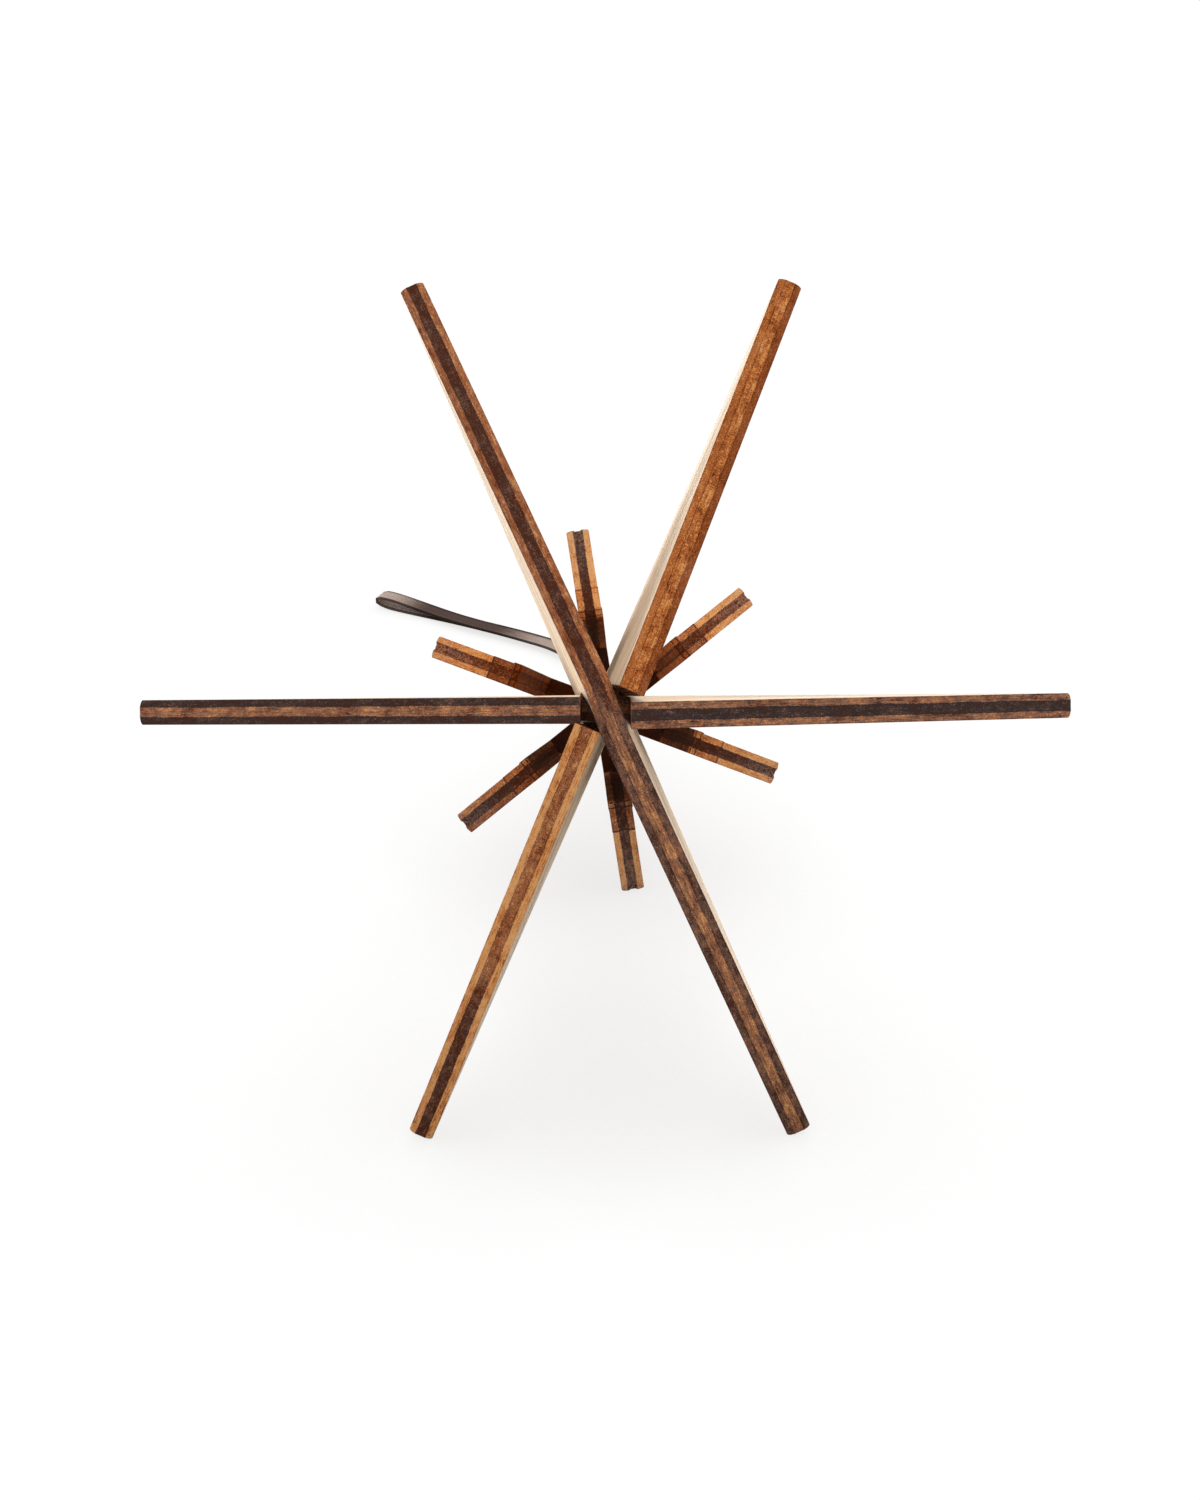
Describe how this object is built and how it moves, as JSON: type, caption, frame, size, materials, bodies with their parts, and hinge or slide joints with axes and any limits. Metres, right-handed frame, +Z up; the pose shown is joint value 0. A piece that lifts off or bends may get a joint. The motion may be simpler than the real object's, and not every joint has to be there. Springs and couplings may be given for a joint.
{
  "type": "wooden bauble",
  "caption": "Slotted plywood bauble: square panels cross corner to corner on one axis, held by a pronged cap with a hanging tab and a ribbon loop.",
  "frame": {"origin": "on the table under the middle of the box of the wooden panels", "axes": "+Y level and back along the bauble, from its point towards the hanging tab; +X to the right, seen from the point; +Z up"},
  "size_m": [0.1132, 0.1843, 0.0938],
  "materials": {
    "wing_plywood": "three-ply board, pale sanded faces, scorched laser-cut edges",
    "cap_plywood": "three-ply board, pale sanded faces, scorched laser-cut edges",
    "ribbon": "dark brown satin"
  },
  "bodies": {
    "root": {"wing_panel_front": "wing_plywood", "wing_panel_middle": "wing_plywood", "wing_panel_rear": "wing_plywood", "cap_panel_low": "cap_plywood", "cap_panel_mid": "cap_plywood", "cap_panel_tab": "cap_plywood", "ribbon_sling": "ribbon", "ribbon_knot": "ribbon", "ribbon_loop": "ribbon"}
  },
  "joints": []
}
